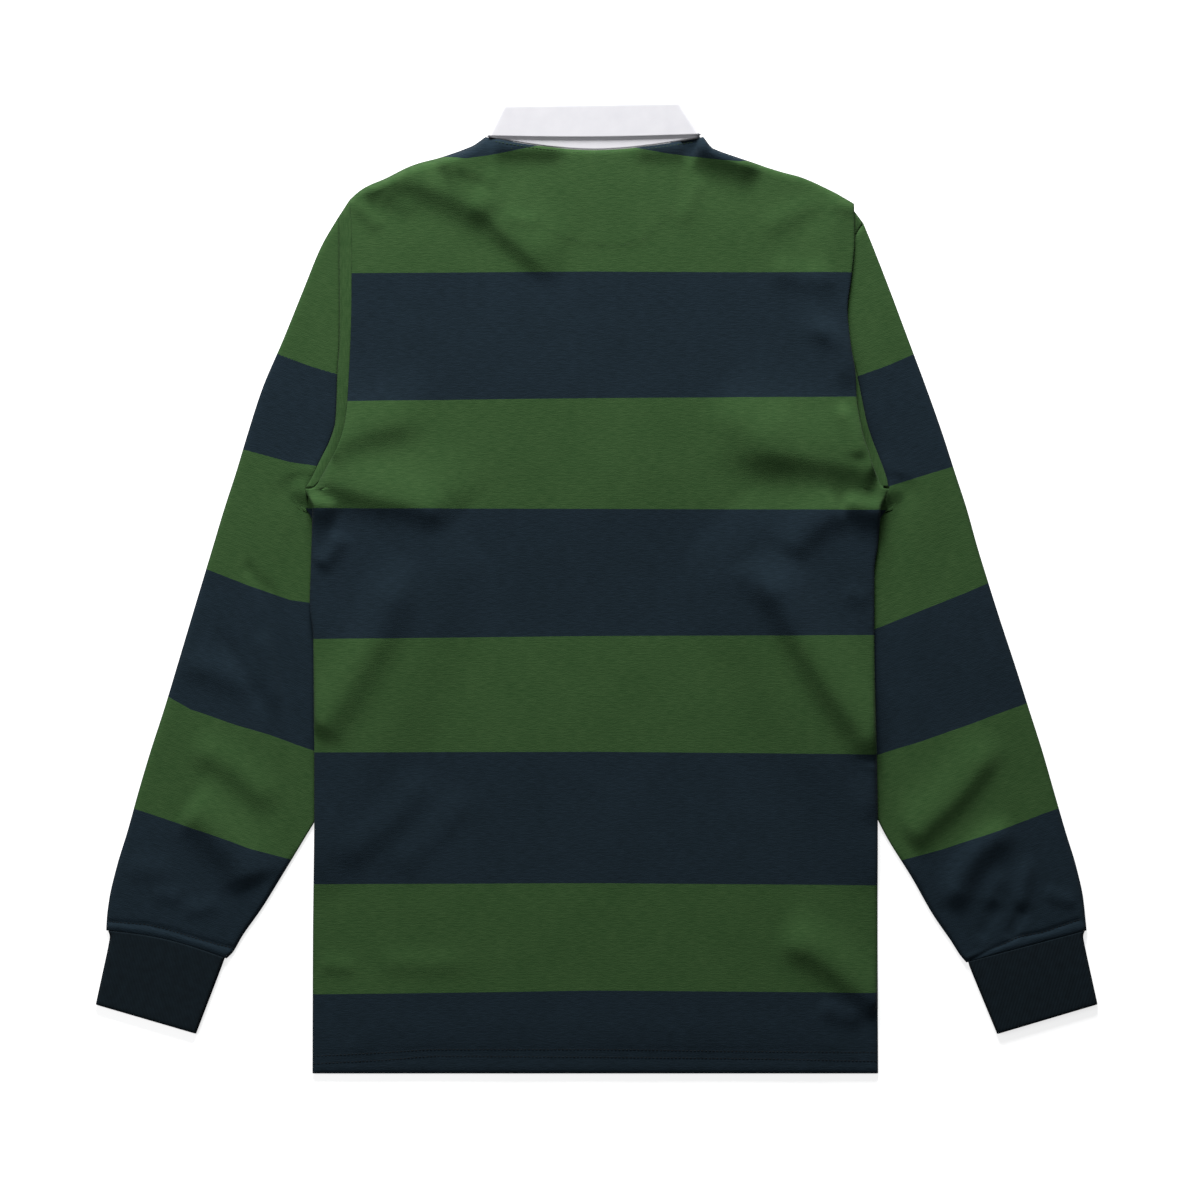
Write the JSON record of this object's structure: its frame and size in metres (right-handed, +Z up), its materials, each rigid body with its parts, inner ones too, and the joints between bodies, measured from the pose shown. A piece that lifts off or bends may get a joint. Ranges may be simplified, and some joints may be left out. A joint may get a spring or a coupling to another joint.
{
  "type": "rugby shirt",
  "caption": "Long-sleeved rugby shirt with hooped body and sleeves, white drill collar and plain dark cuffs, laid flat face down with its back on top.",
  "frame": {"origin": "on the surface that the shirt lies on, under the middle of its outline", "axes": "+Z up out of the surface, +Y towards the collar, +X to the right of someone who looks down on the back"},
  "size_m": [0.801, 0.7759, 0.0118],
  "materials": {
    "jersey_striped": "matte heavy cotton jersey in broad green and navy hoops",
    "jersey_green": "matte heavy cotton jersey, plain green",
    "rib_navy": "matte fine cotton rib, plain navy",
    "drill_white": "matte cotton drill, white",
    "button_white": "satin white rubber"
  },
  "bodies": {
    "root": {"back": "jersey_striped", "front": "jersey_striped", "sleeve_left": "jersey_striped", "sleeve_right": "jersey_striped", "armhole_band_left": "jersey_green", "armhole_band_right": "jersey_green", "cuff_left": "rib_navy", "cuff_right": "rib_navy", "collar_stand": "drill_white", "collar_leaf": "drill_white", "placket": "drill_white", "button_1": "button_white", "button_2": "button_white", "button_3": "button_white"}
  },
  "joints": []
}
